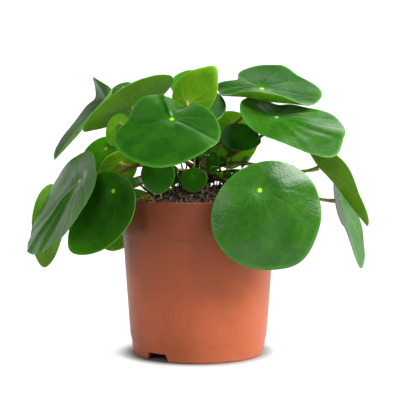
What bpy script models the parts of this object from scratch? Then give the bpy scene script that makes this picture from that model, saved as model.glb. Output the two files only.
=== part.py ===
import bpy
import bmesh
import numpy as np
from math import atan2, cos, exp, pi, radians, sin, sqrt

for old in list(bpy.data.objects):
    bpy.data.objects.remove(old, do_unlink=True)

# Potted plant with round shield-shaped leaves on long stalks. Front is -Y, up is +Z.
# All lengths below are in millimetres and become metres when a mesh is made.
MM = 0.001
GAP = 0.35

# Pot, from its foot up.
POT_TOP = 117.5
POT_RIM_RADIUS = 60.0
POT_WALL = 1.4
SKIRT_WIDTH = 3.0
FOOT_RADIUS = 51.0
FOOT_STEP_Z = 13.0
FLOOR_Z = 7.0
BAND_Z = 91.0
NOTCH_WIDTH = 20.0
NOTCH_HEIGHT = 6.0
NOTCH_TURNS = (-37.0, 83.0, 203.0)
DRAIN_RADIUS = 4.0
DRAIN_RING = 26.0
DRAIN_COUNT = 6
POT_SIDES = 48

# Soil, a plug with a heaped top.
SOIL_EDGE_Z = 114.0
SOIL_CROWN_Z = 127.5
SOIL_LUMP = 0.9

# Main stem in the middle of the plant.
STEM_X = 3.0
STEM_Y = 3.0
STEM_TOP_Z = 163.0
STEM_RADIUS = 6.5

# Leaf blades and their stalks.
BLADE_THICK = 1.0
MARGIN_THICK = 0.6
STALK_RADIUS = 1.45
STALK_SIDES = 6
STALK_STEPS = 8


def leaf(name, spot, face, roll, length, width, **more):
    """One leaf: spot is where its stalk meets it, face the way its upper side looks."""
    values = {
        "name": name,
        "spot": spot,
        "face": face,
        "roll": roll,
        "length": length,
        "width": width,
        "base": 0.30,
        "side": 0.0,
        "egg": 0.04,
        "point": 0.04,
        "cup": 0.0,
        "fold": 0.0,
        "tip": 0.0,
        "tail": 0.0,
        "twist": 0.0,
        "wave": 0.0,
        "phase": 0.0,
        "lobes": (),  # degrees from the tip, rise of the margin, degrees wide
        "bays": (),  # degrees from the tip, share the outline gains or loses, degrees wide
        "curls": (),  # degrees, rise of the margin, degrees wide, share where it starts
        "rings": 4,
        "spokes": 16,
        "rise": 145.0,
        "turn": None,
        "soil": None,
        "lift": 45.0,
        "lead": 0.35,
        "reach": 0.35,
        "press": 1.2,
        "thick": 1.0,
    }
    values.update(more)
    return values


LEAVES = [
    leaf("leaf_front", (-19, -52, 177), (-6, 47), -8, 70, 77, base=0.32, cup=-0.08, egg=-0.08,
         side=-0.5, rise=152, rings=5, spokes=32,
         lobes=((220, 7, 26), (174, -7, 10), (55, 2, 25)),
         bays=((52, -0.04, 22), (258, -0.15, 22), (0, -0.03, 40), (150, 0.03, 20))),
    leaf("leaf_front_right", (43, -68, 126.5), (6, 15), 35, 74, 82, base=0.27, side=-5,
         cup=-0.28, rise=132, lift=15),
    leaf("leaf_left_outer", (-87.5, -35, 132.5), (-58, 30), -17, 84, 76, side=-5, cup=-0.1,
         rise=138, turn=-55, lift=52, lead=0.5, reach=0.3, spokes=24,
         lobes=((340, 2.5, 35),),
         bays=((245, 0.16, 22), (178, -0.15, 24), (150, -0.12, 18), (340, 0.1, 28))),
    leaf("leaf_left_cupped", (-61.5, -48, 125.5), (-30, 10), -22, 60, 52, base=0.22, side=2,
         cup=0.2, rise=134, spokes=24, bays=((215, 0.1, 25), (75, -0.05, 30), (335, 0.12, 22))),
    leaf("leaf_top_left", (-52, -4, 189), (-117, 54), 127, 57, 76, base=0.36, rise=158,
         turn=-60, spokes=24, bays=((270, 0.06, 15), (252, 0.1, 12))),
    leaf("leaf_left_folded", (-74, 30, 193.5), (-68, 40), -16, 79, 60, base=0.26, fold=0.32,
         tail=0.3, rise=150, turn=-125, lead=0.45, rings=5, spokes=32,
         lobes=((214, 16, 22), (180, 4, 20), (285, -3, 30)),
         bays=((205, -0.42, 32), (250, -0.25, 14), (280, -0.1, 25), (165, -0.3, 25))),
    leaf("leaf_top_right", (49.5, 8, 204), (8, 56), 74, 84, 58, base=0.46, side=4, egg=-0.3,
         cup=0.2, tip=-0.2, tail=-0.15, rise=157, rings=7, spokes=32,
         lobes=((330, -3, 25), (225, -5, 25), (188, -2, 18)),
         bays=((88, 0.12, 22), (147, -0.34, 16), (50, -0.16, 25), (0, -0.04, 30),
               (195, -0.08, 15), (265, 0.14, 30)),
         curls=((262, 12, 42, 0.7),)),
    leaf("leaf_right_upper", (59, -15, 180.5), (8, 58), 62, 80, 66, base=0.36, egg=-0.08,
         point=0.0, fold=-0.1, tail=0.12, rise=144, lift=25, rings=5, spokes=32,
         lobes=((155, 0.5, 14), (320, -3, 30)),
         bays=((318, 0.25, 24), (258, -0.06, 25), (115, -0.36, 20), (82, -0.22, 20), (0, 0.03, 20))),
    leaf("leaf_right_drooping", (92, -14, 143), (84, 38), 0, 75, 57, base=0.27, fold=0.5,
         rise=138, turn=98, spokes=24,
         bays=((80, -0.2, 35), (40, -0.1, 25), (300, -0.12, 25), (250, 0.15, 18))),
    leaf("leaf_right_low", (111.5, 8, 117), (64, 17), -2, 70, 50, base=0.24, fold=0.1, rise=132,
         turn=98, spokes=24, bays=((305, -0.38, 30), (75, 0.02, 30))),
    leaf("leaf_crown_young", (-8.5, -20, 191), (170, 10), -140, 40, 31, base=0.25, point=0.1,
         egg=0.12, fold=0.15, rise=160, turn=-10, lift=30, lead=0.5, curls=((0, 3, 40, 0.8),)),
    leaf("leaf_crown_back", (-9, 20, 204.5), (0, 40), 170, 30, 29, rise=162, turn=180),
    leaf("leaf_crown_right", (3, 4, 196), (10, 40), 20, 33, 31, rise=161, turn=60),
    leaf("leaf_small_right", (26, -8, 167), (5, 35), 30, 26, 25, rise=156, rings=3, spokes=12,
         thick=0.8),
    leaf("leaf_behind_right", (25, 26, 172), (175, 15), 0, 46, 46, base=0.35, rise=154),
    leaf("leaf_low_front", (-30, -34, 142), (0, 20), 0, 28, 25, rings=3, spokes=12,
         soil=(-22, -18), thick=0.8),
    leaf("leaf_low_middle", (-3.5, -25, 137), (-15, 12), 0, 18, 21, rings=3, spokes=12,
         soil=(-4, -14), thick=0.7),
    leaf("leaf_low_right", (11, -12, 150), (-25, 8), 0, 16, 12, rings=3, spokes=12,
         soil=(20, -4), thick=0.6),
    leaf("leaf_left_back", (-73, 16, 157.5), (-30, 35), -20, 38, 36, rise=147, turn=-115, lift=30),
    leaf("leaf_left_inner", (-60, -8, 146), (-145, 30), 0, 36, 34, rise=142, turn=-105),
    leaf("leaf_left_low", (-119, 26, 110), (-110, 5), 0, 65, 54, rise=132, turn=-125, lead=0.5,
         lift=20),
    leaf("leaf_rim_left", (-46, -18, 133), (-20, 68), 0, 18, 18, rings=3, spokes=12,
         soil=(-34, -10), thick=0.6),
    leaf("leaf_top_small", (-61, 44, 208), (-20, 50), 0, 25, 21, rings=3, spokes=12, rise=161,
         turn=-120, lead=0.5),
    leaf("leaf_shaded", (-60, -14, 176), (-145, 20), 10, 25, 19, rings=3, spokes=12, rise=149,
         thick=0.8),
    leaf("leaf_back_left", (-58, 56, 110), (205, 35), 10, 62, 60, cup=-0.1, rise=141, turn=-155,
         lift=60, lead=0.5, press=0.2),
    leaf("leaf_back_right", (60, 58, 122), (150, 40), -10, 62, 60, cup=-0.12, rise=136, lift=30),
    leaf("leaf_back_low", (1, 73, 110), (185, 25), 5, 61, 62, cup=-0.1, rise=151, turn=190,
         lift=66, lead=0.55, press=0.2),
    leaf("leaf_back_upper", (-14, 46, 172), (185, 50), 15, 54, 52, cup=-0.08, rise=155, turn=205),
]


def unit(vector):
    return vector / np.linalg.norm(vector)


def heading(turn):
    """Level direction: 0 looks to the front, 90 to the right."""
    return np.array([sin(radians(turn)), -cos(radians(turn)), 0.0])


def leaf_axes(item):
    """Directions of the tip, the side and the upper face of a blade."""
    level = heading(item["face"][0])
    tilt = radians(item["face"][1])
    roll = radians(item["roll"])
    up = np.array([0.0, 0.0, 1.0])
    normal = level * cos(tilt) + up * sin(tilt)
    down = level * sin(tilt) - up * cos(tilt)
    across = np.cross(normal, down)
    tip = down * cos(roll) + across * sin(roll)
    return tip, np.cross(normal, tip), normal


def near_angle(angle, middle, wide):
    """One at the middle angle, falling to nothing past the width, in degrees."""
    gap = (angle * 180.0 / pi - middle + 180.0) % 360.0 - 180.0
    return exp(-(gap / wide) ** 2)


def leaf_edge(item, angle):
    """Margin of the blade in its own plane, measured from the stalk's spot."""
    length = item["length"]
    along = (0.5 - item["base"]) * length + 0.5 * length * cos(angle)
    along += item["point"] * length * max(0.0, cos(angle)) ** 12
    across = item["side"] + 0.5 * item["width"] * sin(angle) * (1.0 - item["egg"] * cos(angle))
    grow = 1.0
    for middle, part, wide in item["bays"]:
        grow += part * near_angle(angle, middle, wide)
    return along * grow, across * grow


def leaf_height(item, along, across, angle, share):
    """How far the blade stands above its own plane."""
    length = item["length"]
    round_part = (along * along + across * across) / (length * length)
    height = item["cup"] * length * round_part
    height += item["fold"] * (sqrt(across * across + 9.0) - 3.0)
    height += item["tip"] * max(0.0, along) ** 2 / length
    height += item["tail"] * 4.0 * min(0.0, along) ** 2 / length
    height += item["twist"] * 2.0 * along * across / length
    height += item["wave"] * share * share * sin(3.0 * angle + item["phase"])
    for middle, rise, wide in item["lobes"]:
        height += rise * near_angle(angle, middle, wide) * share * share
    for middle, rise, wide, start in item["curls"]:
        height += rise * near_angle(angle, middle, wide) * max(0.0, (share - start) / (1.0 - start)) ** 2
    return height


def leaf_point(item, angle, share):
    """Point of the blade's upper face at a share of the way to its margin."""
    edge_along, edge_across = leaf_edge(item, angle)
    along = edge_along * share
    across = edge_across * share
    tip, side, normal = leaf_axes(item)
    height = leaf_height(item, along, across, angle, share)
    return np.array(item["spot"], float) + tip * along + side * across + normal * height


def soil_top(x, y):
    """Height of the heaped soil above the floor at a place."""
    radius = sqrt((x - STEM_X) ** 2 + (y - STEM_Y) ** 2)
    share = min(1.0, max(0.0, (radius - 14.0) / 44.0))
    smooth = share * share * (3.0 - 2.0 * share)
    return SOIL_CROWN_Z + (SOIL_EDGE_Z - SOIL_CROWN_Z) * smooth


def stem_radius(z):
    """Stem tapers a little towards its top."""
    return STEM_RADIUS - 1.5 * (z - SOIL_CROWN_Z) / (STEM_TOP_Z - SOIL_CROWN_Z)


def stalk_ends(item):
    """Start and end of a stalk with the way it leaves and the way it arrives."""
    spot = np.array(item["spot"], float)
    normal = leaf_axes(item)[2]
    end = spot - normal * (BLADE_THICK * item["thick"] + GAP)
    if item["soil"]:
        x, y = item["soil"]
        start = np.array([x, y, soil_top(x, y) + GAP + 0.4])
        return start, np.array([0.0, 0.0, 1.0]), end, normal
    turn = item["turn"]
    if turn is None:
        turn = atan2(spot[0] - STEM_X, -(spot[1] - STEM_Y)) * 180.0 / pi
    out = heading(turn)
    start = np.array([STEM_X, STEM_Y, item["rise"]]) + out * (stem_radius(item["rise"]) + GAP)
    return start, out, end, normal


def stalk_path(item):
    """Middle line of a stalk, an easy curve from the stem to the blade."""
    start, out, end, normal = stalk_ends(item)
    span = np.linalg.norm(end - start)
    lift = radians(item["lift"])
    leave = out if item["soil"] else out * cos(lift) + np.array([0.0, 0.0, sin(lift)])
    arrive = unit(unit(start - end) - normal * item["press"])
    first = start + leave * span * item["lead"]
    second = end + arrive * span * item["reach"]
    points = []
    for step in range(STALK_STEPS + 1):
        t = step / STALK_STEPS
        a = (1.0 - t) ** 3
        b = 3.0 * t * (1.0 - t) ** 2
        c = 3.0 * t * t * (1.0 - t)
        points.append(start * a + first * b + second * c + end * t ** 3)
    return points


# Meshes.


def add_object(name, verts, faces, color, roughness, smooth=True):
    """Makes one named object from points in millimetres and gives it its material."""
    mesh = bpy.data.meshes.new(name)
    mesh.from_pydata([tuple(float(c) * MM for c in v) for v in verts], [], faces)
    mesh.validate()
    work = bmesh.new()
    work.from_mesh(mesh)
    bmesh.ops.recalc_face_normals(work, faces=work.faces)
    work.to_mesh(mesh)
    work.free()
    if smooth:
        for polygon in mesh.polygons:
            polygon.use_smooth = True
    paint = bpy.data.materials.new(name + "_material")
    paint.use_nodes = True
    shader = paint.node_tree.nodes["Principled BSDF"]
    shader.inputs["Base Color"].default_value = (*color, 1.0)
    shader.inputs["Roughness"].default_value = roughness
    shader.inputs["Metallic"].default_value = 0.0
    mesh.materials.append(paint)
    made = bpy.data.objects.new(name, mesh)
    bpy.context.scene.collection.objects.link(made)
    return made


def revolve(profile, sides, x=0.0, y=0.0):
    """Points and faces of a closed profile of (radius, z) turned about a vertical line."""
    verts = []
    faces = []
    for radius, z in profile:
        for side in range(sides):
            turn = 2.0 * pi * side / sides
            verts.append((x + radius * cos(turn), y + radius * sin(turn), z))
    count = len(profile)
    for row in range(count):
        below = row * sides
        above = (row + 1) % count * sides
        for side in range(sides):
            after = (side + 1) % sides
            faces.append((below + side, below + after, above + after, above + side))
    return verts, faces


def cutter(name, verts, faces):
    """A hidden body that only cuts others."""
    mesh = bpy.data.meshes.new(name)
    mesh.from_pydata([tuple(float(c) * MM for c in v) for v in verts], [], faces)
    work = bmesh.new()
    work.from_mesh(mesh)
    bmesh.ops.recalc_face_normals(work, faces=work.faces)
    work.to_mesh(mesh)
    work.free()
    made = bpy.data.objects.new(name, mesh)
    made.hide_render = True
    made.display_type = "WIRE"
    bpy.context.scene.collection.objects.link(made)
    return made


def cut(target, tool):
    modifier = target.modifiers.new(tool.name, "BOOLEAN")
    modifier.operation = "DIFFERENCE"
    modifier.solver = "EXACT"
    modifier.object = tool


def block(turn, inner, outer, width_low, width_high, low, high):
    """A wedge-sided box that points outwards at a turn about the pot's middle."""
    out = heading(turn)
    across = np.array([-out[1], out[0], 0.0])
    verts = []
    for z, width in ((low, width_low), (high, width_high)):
        for reach, sign in ((inner, -1), (outer, -1), (outer, 1), (inner, 1)):
            verts.append(out * reach + across * sign * width * 0.5 + np.array([0.0, 0.0, z]))
    faces = [(0, 1, 2, 3), (7, 6, 5, 4), (0, 4, 5, 1), (1, 5, 6, 2), (2, 6, 7, 3), (3, 7, 4, 0)]
    return verts, faces


def make_pot():
    """Tapered pot with a proud collar, a stepped foot, a raised floor, notches and drain holes."""
    inside_top = POT_RIM_RADIUS - POT_WALL - 0.6
    skirt = FOOT_RADIUS - SKIRT_WIDTH
    profile = [
        (skirt, 0.0),
        (FOOT_RADIUS - 1.0, 0.0),
        (FOOT_RADIUS, 1.5),
        (FOOT_RADIUS + 1.0, FOOT_STEP_Z - 1.5),
        (FOOT_RADIUS + 2.0, FOOT_STEP_Z),
        (58.4, BAND_Z - 0.6),
        (59.3, BAND_Z),
        (POT_RIM_RADIUS - 0.1, POT_TOP - 1.6),
        (POT_RIM_RADIUS, POT_TOP - 0.5),
        (POT_RIM_RADIUS - 0.5, POT_TOP),
        (inside_top + 0.4, POT_TOP),
        (inside_top, POT_TOP - 0.6),
        (57.0, BAND_Z),
        (51.6, FOOT_STEP_Z + 1.0),
        (50.2, FLOOR_Z + POT_WALL + 0.8),
        (49.2, FLOOR_Z + POT_WALL),
    ]
    profile.insert(0, (skirt, FLOOR_Z))
    verts, faces = revolve(profile, POT_SIDES)
    # The floor is closed by a fan above and a fan below.
    last = (len(profile) - 1) * POT_SIDES
    faces = [f for f in faces if not (min(f) < POT_SIDES and max(f) >= last)]
    verts.append((0.0, 0.0, FLOOR_Z))
    verts.append((0.0, 0.0, FLOOR_Z + POT_WALL))
    for side in range(POT_SIDES):
        after = (side + 1) % POT_SIDES
        faces.append((side, after, len(verts) - 2))
        faces.append((last + after, last + side, len(verts) - 1))
    pot = add_object("pot", verts, faces, (0.55, 0.16, 0.06), 0.42)
    for number, turn in enumerate(NOTCH_TURNS):
        width = NOTCH_WIDTH
        shape = block(turn, skirt - 4.0, FOOT_RADIUS + 6.0, width + 1.0, width - 3.0, -2.0, NOTCH_HEIGHT)
        cut(pot, cutter(f"notch_cutter_{number}", *shape))
    for number in range(DRAIN_COUNT):
        turn = 2.0 * pi * (number + 0.31) / DRAIN_COUNT
        x = DRAIN_RING * cos(turn)
        y = DRAIN_RING * sin(turn)
        verts, faces = revolve([(DRAIN_RADIUS, FLOOR_Z - 1.0), (DRAIN_RADIUS, FLOOR_Z + 3.0)], 12, x, y)
        faces = [f for f in faces if min(f) < 12 and max(f) >= 12][:12]
        faces.append(tuple(range(12)))
        faces.append(tuple(range(23, 11, -1)))
        cut(pot, cutter(f"drain_cutter_{number}", verts, faces))
    return pot


def make_soil():
    """Soil plug: its side follows the pot's inside, its top is heaped and lumpy."""
    sides = 32
    rows = 8
    random = np.random.default_rng(7)
    verts = []
    faces = []
    side_profile = (
        (48.8, FLOOR_Z + POT_WALL + GAP),
        (51.0, FOOT_STEP_Z + 1.6),
        (56.4, BAND_Z - 0.5),
        (57.3, SOIL_EDGE_Z - 2.0),
    )
    for radius, z in side_profile:
        for side in range(sides):
            turn = 2.0 * pi * side / sides
            verts.append((radius * cos(turn), radius * sin(turn), z))
    for row in range(rows):
        radius = 57.0 * (1.0 - row / rows)
        for side in range(sides):
            turn = 2.0 * pi * side / sides
            x = radius * cos(turn)
            y = radius * sin(turn)
            far = sqrt((x - STEM_X) ** 2 + (y - STEM_Y) ** 2)
            lump = random.normal() * SOIL_LUMP * (1.0 if far > 34.0 else 0.0)
            verts.append((x, y, soil_top(x, y) + min(1.6, max(-1.6, lump))))
    verts.append((0.0, 0.0, soil_top(0.0, 0.0)))
    total = len(side_profile) + rows
    for row in range(total - 1):
        for side in range(sides):
            after = (side + 1) % sides
            low = row * sides
            high = low + sides
            faces.append((low + side, low + after, high + after, high + side))
    last = (total - 1) * sides
    for side in range(sides):
        faces.append((last + side, last + (side + 1) % sides, len(verts) - 1))
    faces.append(tuple(range(sides - 1, -1, -1)))
    return add_object("soil", verts, faces, (0.035, 0.022, 0.015), 0.95)


def make_stem():
    """Short main stem that carries most of the stalks."""
    sides = 12
    rows = 6
    verts = []
    faces = []
    foot = SOIL_CROWN_Z + GAP
    for row in range(rows + 1):
        z = foot + (STEM_TOP_Z - 2.0 - foot) * row / rows
        for side in range(sides):
            turn = 2.0 * pi * side / sides
            radius = stem_radius(z)
            verts.append((STEM_X + radius * cos(turn), STEM_Y + radius * sin(turn), z))
    for side in range(sides):
        turn = 2.0 * pi * side / sides
        verts.append((STEM_X + 2.5 * cos(turn), STEM_Y + 2.5 * sin(turn), STEM_TOP_Z))
    for row in range(rows + 1):
        for side in range(sides):
            after = (side + 1) % sides
            low = row * sides
            faces.append((low + side, low + after, low + sides + after, low + sides + side))
    faces.append(tuple(range(sides - 1, -1, -1)))
    top = (rows + 1) * sides
    faces.append(tuple(range(top, top + sides)))
    return add_object("main_stem", verts, faces, (0.16, 0.15, 0.05), 0.7)


def make_blade(item):
    """Thin closed blade: upper and lower skins about the spot, joined round the margin."""
    spokes = item["spokes"]
    rings = item["rings"]
    step = 1e-3
    upper = [leaf_point(item, 0.0, 0.0)]
    lower = []
    normals = [leaf_axes(item)[2]]
    for ring in range(1, rings + 1):
        share = ring / rings
        for spoke in range(spokes):
            angle = 2.0 * pi * spoke / spokes
            point = leaf_point(item, angle, share)
            along = leaf_point(item, angle, share + step) - point
            around = leaf_point(item, angle + step, share) - point
            normal = unit(np.cross(along, around))
            if normal @ normals[0] < 0.0:
                normal = -normal
            upper.append(point)
            normals.append(normal)
    thick = BLADE_THICK * item["thick"]
    for index, point in enumerate(upper):
        ring = 0 if index == 0 else (index - 1) // spokes + 1
        share = ring / rings
        depth = thick * (1.0 - share ** 3) + MARGIN_THICK * item["thick"] * share ** 3
        lower.append(point - normals[index] * depth)
    verts = upper + lower
    below = len(upper)
    faces = []
    for spoke in range(spokes):
        after = (spoke + 1) % spokes
        faces.append((0, 1 + spoke, 1 + after))
        faces.append((below, below + 1 + after, below + 1 + spoke))
        for ring in range(1, rings):
            inner = 1 + (ring - 1) * spokes
            outer = inner + spokes
            faces.append((inner + spoke, outer + spoke, outer + after, inner + after))
            faces.append((below + inner + after, below + outer + after,
                          below + outer + spoke, below + inner + spoke))
        rim = 1 + (rings - 1) * spokes
        faces.append((rim + spoke, below + rim + spoke, below + rim + after, rim + after))
    return add_object(item["name"], verts, faces, (0.03, 0.18, 0.02), 0.3)


def make_stalk(item):
    """Stalk: a tapering tube whose ends lie flat to the stem and to the blade."""
    path = stalk_path(item)
    start, out, end, normal = stalk_ends(item)
    count = len(path)
    verts = []
    faces = []
    guide = None
    scale = 0.55 + 0.45 * min(1.0, item["length"] / 70.0)
    for index, point in enumerate(path):
        if index == 0:
            facing = out
        elif index == count - 1:
            facing = normal
        else:
            facing = unit(path[index + 1] - path[index - 1])
        if guide is None:
            guide = np.cross(facing, (0.0, 0.0, 1.0))
            if np.linalg.norm(guide) < 0.1:
                guide = np.array([1.0, 0.0, 0.0])
        guide = unit(guide - facing * (guide @ facing))
        other = np.cross(facing, guide)
        share = index / (count - 1)
        radius = STALK_RADIUS * scale * (1.15 - 0.3 * share)
        for side in range(STALK_SIDES):
            turn = 2.0 * pi * side / STALK_SIDES
            verts.append(point + (guide * cos(turn) + other * sin(turn)) * radius)
    for index in range(count - 1):
        low = index * STALK_SIDES
        high = low + STALK_SIDES
        for side in range(STALK_SIDES):
            after = (side + 1) % STALK_SIDES
            faces.append((low + side, low + after, high + after, high + side))
    faces.append(tuple(range(STALK_SIDES - 1, -1, -1)))
    last = (count - 1) * STALK_SIDES
    faces.append(tuple(range(last, last + STALK_SIDES)))
    name = item["name"].replace("leaf_", "stalk_")
    return add_object(name, verts, faces, (0.18, 0.16, 0.03), 0.45)


def make_sprout():
    """Tiny seedling on the soil near the rim: a bead with pulled-out pointed lobes."""
    work = bmesh.new()
    bmesh.ops.create_icosphere(work, subdivisions=1, radius=1.6)
    work.faces.ensure_lookup_table()
    place = np.array([-40.0, -30.0, 0.0])
    base = soil_top(place[0], place[1]) + 1.2
    picked = [f for f in work.faces if f.normal.z > -0.1][:9]
    for number, face in enumerate(picked):
        made = bmesh.ops.extrude_discrete_faces(work, faces=[face])["faces"][0]
        way = made.normal.copy()
        middle = made.calc_center_median()
        for vert in made.verts:
            vert.co = middle + way * (4.0 + number % 3) + (vert.co - middle) * 0.35
    verts = [(v.co.x + place[0], v.co.y + place[1], v.co.z + base) for v in work.verts]
    index = {v: i for i, v in enumerate(work.verts)}
    faces = [tuple(index[v] for v in f.verts) for f in work.faces]
    work.free()
    return add_object("sprout", verts, faces, (0.35, 0.12, 0.04), 0.6, smooth=False)


make_pot()
make_soil()
make_stem()
make_sprout()
for each in LEAVES:
    make_blade(each)
    make_stalk(each)
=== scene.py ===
import bpy
import random
from math import atan2, cos, exp, pi, radians, sin, sqrt
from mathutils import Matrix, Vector, noise


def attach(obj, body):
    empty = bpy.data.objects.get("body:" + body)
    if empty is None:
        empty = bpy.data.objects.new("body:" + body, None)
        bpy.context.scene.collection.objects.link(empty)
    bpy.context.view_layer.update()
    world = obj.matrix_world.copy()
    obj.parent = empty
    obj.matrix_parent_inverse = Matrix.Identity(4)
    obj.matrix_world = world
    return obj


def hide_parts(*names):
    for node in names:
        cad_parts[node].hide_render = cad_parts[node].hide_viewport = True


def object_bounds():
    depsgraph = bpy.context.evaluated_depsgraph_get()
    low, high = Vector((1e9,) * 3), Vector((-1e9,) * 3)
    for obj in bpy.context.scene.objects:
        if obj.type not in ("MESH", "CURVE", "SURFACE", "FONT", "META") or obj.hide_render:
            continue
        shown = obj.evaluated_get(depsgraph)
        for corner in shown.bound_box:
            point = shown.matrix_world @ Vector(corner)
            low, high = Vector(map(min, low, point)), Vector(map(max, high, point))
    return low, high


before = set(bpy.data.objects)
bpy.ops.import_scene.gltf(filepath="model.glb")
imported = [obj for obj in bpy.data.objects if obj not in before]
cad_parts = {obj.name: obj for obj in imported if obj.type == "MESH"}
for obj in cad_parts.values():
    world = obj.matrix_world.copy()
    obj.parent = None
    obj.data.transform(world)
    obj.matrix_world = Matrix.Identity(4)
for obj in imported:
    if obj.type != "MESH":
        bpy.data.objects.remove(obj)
cadLow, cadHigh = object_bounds()
mm = 0.001  # lengths in the tables are millimetres
boxSlack = 0.00002  # metres kept between a piece and the CAD's box


# ---- small tools ----

def deselectAll():
    if bpy.context.object and bpy.context.object.mode != "OBJECT":
        bpy.ops.object.mode_set(mode="OBJECT")
    bpy.ops.object.select_all(action="DESELECT")


def pick(*objects):
    deselectAll()
    for ob in objects:
        ob.select_set(True)
    bpy.context.view_layer.objects.active = objects[0]
    return objects[0]


def named(ob, name):
    ob.name = name
    ob.data.name = name
    return ob


def editMode(kind="FACE"):
    bpy.ops.object.mode_set(mode="EDIT")
    bpy.ops.mesh.select_mode(type=kind)


def objectMode():
    bpy.ops.object.mode_set(mode="OBJECT")


def applyAll(ob):
    pick(ob)
    for modifier in list(ob.modifiers):
        bpy.ops.object.modifier_apply(modifier=modifier.name)


def freshCopy(source, name):
    twin = source.copy()
    twin.data = source.data.copy()
    bpy.context.scene.collection.objects.link(twin)
    return named(twin, name)


def settle(ob):
    pick(ob)  # place, turn and size go into the mesh
    bpy.ops.object.transform_apply(location=True, rotation=True, scale=True)
    return ob


def joinAll(objects, name):
    pick(*objects)
    bpy.ops.object.join()
    return named(bpy.context.object, name)


def smoothByAngle(ob, degrees):
    pick(ob)
    bpy.ops.object.shade_smooth_by_angle(angle=radians(degrees))


def growRing(scaleBy, lift, middle):  # adds one more loop on the open edge
    bpy.ops.mesh.extrude_region_move(TRANSFORM_OT_translate={"value": (0, 0, lift)})
    bpy.ops.transform.resize(value=(scaleBy, scaleBy, 1), center_override=middle)


def selectOpenEdge():
    bpy.ops.mesh.select_all(action="DESELECT")
    bpy.ops.mesh.select_non_manifold()


def turnOutward():
    bpy.ops.mesh.select_all(action="SELECT")
    bpy.ops.mesh.normals_make_consistent(inside=False)
    objectMode()


def wear(ob, paint):
    ob.data.materials.clear()
    ob.data.materials.append(paint)
    return ob


def merge(objects, name, paint):
    return wear(settle(joinAll(objects, name)), paint)


def freshMaps(mesh, *names):
    while mesh.uv_layers:
        mesh.uv_layers.remove(mesh.uv_layers[0])
    return [mesh.uv_layers.new(name=name).data for name in names]


def newStrand():
    deselectAll()
    bpy.ops.curve.primitive_bezier_curve_add()
    strand = bpy.context.object
    for point in strand.data.splines[0].bezier_points:
        point.handle_left_type = point.handle_right_type = "FREE"
    return strand


def strandMesh(strand, radius, sides, steps):
    strand.data.bevel_depth = radius * mm
    strand.data.bevel_resolution = sides
    strand.data.resolution_u = steps
    strand.data.use_fill_caps = True
    bpy.ops.object.convert(target="MESH")
    return bpy.context.object


def spotInRound(dice, reach):
    turn = dice.uniform(0, 2 * pi)
    radius = reach * sqrt(dice.random())
    return cos(turn) * radius, sin(turn) * radius


def finishPiece(ob, slot, *nodes):
    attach(ob, "root")
    if nodes:
        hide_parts(*nodes)
    return ob


def smoothStep(low, high, value):
    share = min(1.0, max(0.0, (value - low) / (high - low)))
    return share * share * (3 - 2 * share)


# ---- node tools ----

def setInputs(tree, node, values):
    node.location = (len(tree.nodes) % 9 * 200, -(len(tree.nodes) // 9) * 260)
    for name, value in values.items():
        if isinstance(value, bpy.types.NodeSocket):
            tree.links.new(value, node.inputs[name])
        else:
            node.inputs[name].default_value = value


def addNode(tree, kind, inputs=None, **settings):
    node = tree.nodes.new("ShaderNode" + kind)
    for key, value in settings.items():
        setattr(node, key, value)
    setInputs(tree, node, inputs or {})
    return node


def calc(tree, operation, first, second):
    return addNode(tree, "Math", {0: first, 1: second}, operation=operation).outputs[0]


def times(tree, first, second):
    return calc(tree, "MULTIPLY", first, second)


def objectSpot(tree):
    return addNode(tree, "TexCoord").outputs["Object"]


def grain(tree, spot, scale, detail):
    return addNode(tree, "TexNoise", {"Vector": spot, "Scale": scale, "Detail": detail}).outputs["Fac"]


def mapParts(tree, name):
    run = addNode(tree, "UVMap", uv_map=name).outputs["UV"]
    return addNode(tree, "SeparateXYZ", {0: run}).outputs


def ramp(tree, value, fromMin, fromMax, toMin=0.0, toMax=1.0, kind="SMOOTHSTEP"):
    node = addNode(tree, "MapRange", {"Value": value, "From Min": fromMin, "From Max": fromMax,
                                      "To Min": toMin, "To Max": toMax}, interpolation_type=kind)
    return node.outputs["Result"]


def blend(tree, factor, first, second):
    return addNode(tree, "Mix", {0: factor, 6: first, 7: second}, data_type="RGBA").outputs[2]


def startGroup(name, inputs, outputs):
    tree = bpy.data.node_groups.new(name, "ShaderNodeTree")
    for label, kind, value in inputs:
        socket = tree.interface.new_socket(name=label, in_out="INPUT", socket_type="NodeSocket" + kind)
        if value is not None:
            socket.default_value = value
    for label, kind in outputs:
        tree.interface.new_socket(name=label, in_out="OUTPUT", socket_type="NodeSocket" + kind)
    enter = tree.nodes.new("NodeGroupInput")
    leave = tree.nodes.new("NodeGroupOutput")
    leave.location = (2000, 0)
    return tree, enter.outputs, leave.inputs


def useGroup(tree, group, inputs):
    node = tree.nodes.new("ShaderNodeGroup")
    node.node_tree = group
    setInputs(tree, node, inputs)
    return node.outputs


def patches(tree, spot, scale, low, high):
    return useGroup(tree, patchGroup, {"Vector": spot, "Scale": scale, "Low": low, "High": high})


def flecks(tree, spot, scale, amount):
    return useGroup(tree, fleckGroup, {"Vector": spot, "Scale": scale, "Amount": amount})["Mask"]


def startPaint(name, shaderValues):
    paint = bpy.data.materials.new(name)
    paint.use_nodes = True
    shader = paint.node_tree.nodes["Principled BSDF"]
    for key, value in shaderValues.items():
        shader.inputs[key].default_value = value
    return paint, paint.node_tree, shader


def feed(tree, shader, color=None, roughness=None, height=None, distance=0.0003, strength=0.6):
    if color is not None:
        tree.links.new(color, shader.inputs["Base Color"])
    if roughness is not None:
        tree.links.new(roughness, shader.inputs["Roughness"])
    if height is not None:
        bump = addNode(tree, "Bump", {"Height": height, "Distance": distance, "Strength": strength})
        tree.links.new(bump.outputs["Normal"], shader.inputs["Normal"])


# ---- shared effects ----

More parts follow.
